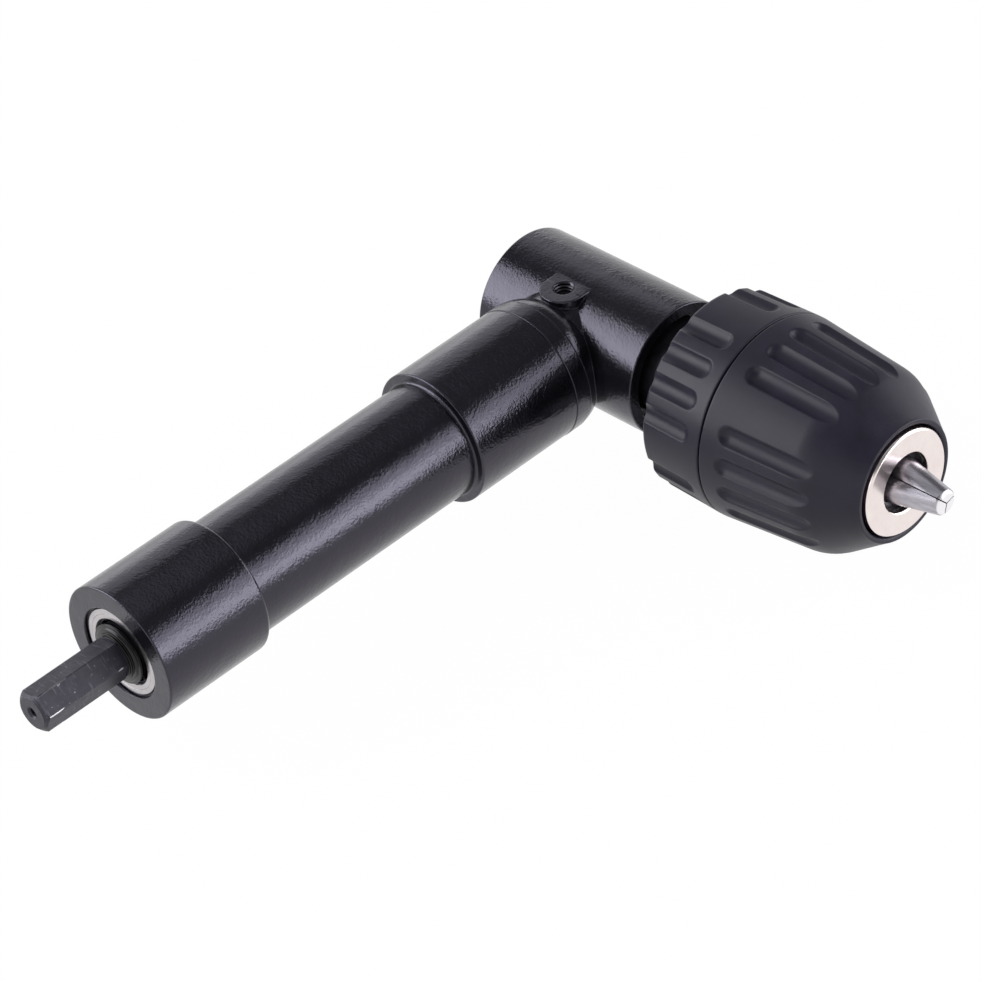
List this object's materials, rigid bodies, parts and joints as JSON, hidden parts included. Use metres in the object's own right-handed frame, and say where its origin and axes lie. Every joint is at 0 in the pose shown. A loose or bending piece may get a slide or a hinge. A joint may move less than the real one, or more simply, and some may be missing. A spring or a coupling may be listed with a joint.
{
  "type": "right angle drill attachment",
  "caption": "Right angle drill attachment: hex shank, long tubular housing, mitre gear head with a tapped lug, and a keyless three jaw chuck at a right angle.",
  "frame": {"origin": "root of the hex shank: the point of the input axis in the plane of the tail face", "axes": "-X along the hex shank, away from the housing; +X along the input axis towards the gear head; -Y along the output axis towards the chuck's nose; +Z on the side of the tapped lug"},
  "size_m": [0.1716, 0.1124, 0.0432],
  "materials": {
    "black_enamel": "gloss black enamel over steel, with slight orange peel",
    "bearing_steel": "ground bearing steel",
    "cage_steel": "pressed steel",
    "spring_steel": "phosphated spring steel",
    "black_oxide_steel": "black oxide with worn edges",
    "gear_steel": "cut and greased gear steel",
    "turned_steel": "turned steel",
    "chuck_plastic": "fine moulded matte",
    "nickel_plate": "bright nickel plate",
    "jaw_steel": "ground hardened steel"
  },
  "bodies": {
    "housing": {"tail_sleeve": "black_enamel", "main_tube": "black_enamel", "head_sleeve": "black_enamel", "neck_ring": "black_enamel", "gear_head": "black_enamel", "rear_cap": "black_enamel", "tail_bearing_outer_ring": "bearing_steel", "tail_bearing_shield": "bearing_steel", "pinion_bearing_outer_ring": "bearing_steel", "pinion_bearing_circlip": "spring_steel", "front_bearing_outer_ring": "bearing_steel", "front_bearing_circlip": "spring_steel", "rear_bearing_outer_ring": "bearing_steel"},
    "input_drive": {"input_shaft": "black_oxide_steel", "bevel_pinion": "gear_steel", "tail_bearing_inner_ring": "bearing_steel", "pinion_bearing_inner_ring": "bearing_steel", "shaft_circlip": "spring_steel"},
    "output_drive": {"output_spindle": "black_oxide_steel", "bevel_gear": "gear_steel", "front_bearing_inner_ring": "bearing_steel", "rear_bearing_inner_ring": "bearing_steel", "chuck_body": "turned_steel", "rear_sleeve": "chuck_plastic", "nose_ring": "nickel_plate", "thrust_race": "bearing_steel"},
    "grip_sleeve": {"front_sleeve": "chuck_plastic", "split_nut": "turned_steel", "nut_jacket": "cage_steel"},
    "first_jaw": {"jaw_1": "jaw_steel"},
    "second_jaw": {"jaw_2": "jaw_steel"},
    "third_jaw": {"jaw_3": "jaw_steel"},
    "tail_cage": {"tail_bearing_balls": "bearing_steel", "tail_bearing_cage": "cage_steel"},
    "pinion_cage": {"pinion_bearing_balls": "bearing_steel", "pinion_bearing_cage": "cage_steel"},
    "front_cage": {"front_bearing_balls": "bearing_steel", "front_bearing_cage": "cage_steel"},
    "rear_cage": {"rear_bearing_balls": "bearing_steel", "rear_bearing_cage": "cage_steel"},
    "thrust_set": {"thrust_bearing_balls": "bearing_steel"}
  },
  "joints": [
    {"name": "output_spin", "type": "hinge", "parent": "housing", "child": "output_drive", "pos_m": [0.1285, 0, 0], "axis": [0, -1, 0], "continuous": true},
    {"name": "input_spin", "type": "hinge", "parent": "housing", "child": "input_drive", "pos_m": [0, 0, 0], "axis": [1, 0, 0], "continuous": true},
    {"name": "tail_cage_spin", "type": "hinge", "parent": "housing", "child": "tail_cage", "pos_m": [0, 0, 0], "axis": [1, 0, 0], "continuous": true},
    {"name": "pinion_cage_spin", "type": "hinge", "parent": "housing", "child": "pinion_cage", "pos_m": [0, 0, 0], "axis": [1, 0, 0], "continuous": true},
    {"name": "front_cage_spin", "type": "hinge", "parent": "housing", "child": "front_cage", "pos_m": [0.1285, 0, 0], "axis": [0, -1, 0], "continuous": true},
    {"name": "rear_cage_spin", "type": "hinge", "parent": "housing", "child": "rear_cage", "pos_m": [0.1285, 0, 0], "axis": [0, -1, 0], "continuous": true},
    {"name": "sleeve_turn", "type": "hinge", "parent": "output_drive", "child": "grip_sleeve", "pos_m": [0.1285, -0.05, 0], "axis": [0, -1, 0], "range_deg": [0, 4720]},
    {"name": "thrust_roll", "type": "hinge", "parent": "output_drive", "child": "thrust_set", "pos_m": [0.1285, -0.05, 0], "axis": [0, -1, 0], "range_deg": [0, 2361]},
    {"name": "first_jaw_slide", "type": "slide", "parent": "output_drive", "child": "first_jaw", "axis": [0.0683, 0.9724, 0.2232], "range_m": [0, 0.02142]},
    {"name": "second_jaw_slide", "type": "slide", "parent": "output_drive", "child": "second_jaw", "axis": [-0.2275, 0.9724, -0.0525], "range_m": [0, 0.02142]},
    {"name": "third_jaw_slide", "type": "slide", "parent": "output_drive", "child": "third_jaw", "axis": [0.1592, 0.9724, -0.1707], "range_m": [0, 0.02142]}
  ],
  "couplings": [
    {"joint": "input_spin", "follows": "output_spin", "ratio": 1},
    {"joint": "tail_cage_spin", "follows": "output_spin", "ratio": 0.4179},
    {"joint": "pinion_cage_spin", "follows": "output_spin", "ratio": 0.4008},
    {"joint": "front_cage_spin", "follows": "output_spin", "ratio": 0.4118},
    {"joint": "rear_cage_spin", "follows": "output_spin", "ratio": 0.4179},
    {"joint": "thrust_roll", "follows": "sleeve_turn", "ratio": 0.5},
    {"joint": "first_jaw_slide", "follows": "sleeve_turn", "m_per_rad": 0.00025984},
    {"joint": "second_jaw_slide", "follows": "sleeve_turn", "m_per_rad": 0.00025984},
    {"joint": "third_jaw_slide", "follows": "sleeve_turn", "m_per_rad": 0.00025984}
  ]
}
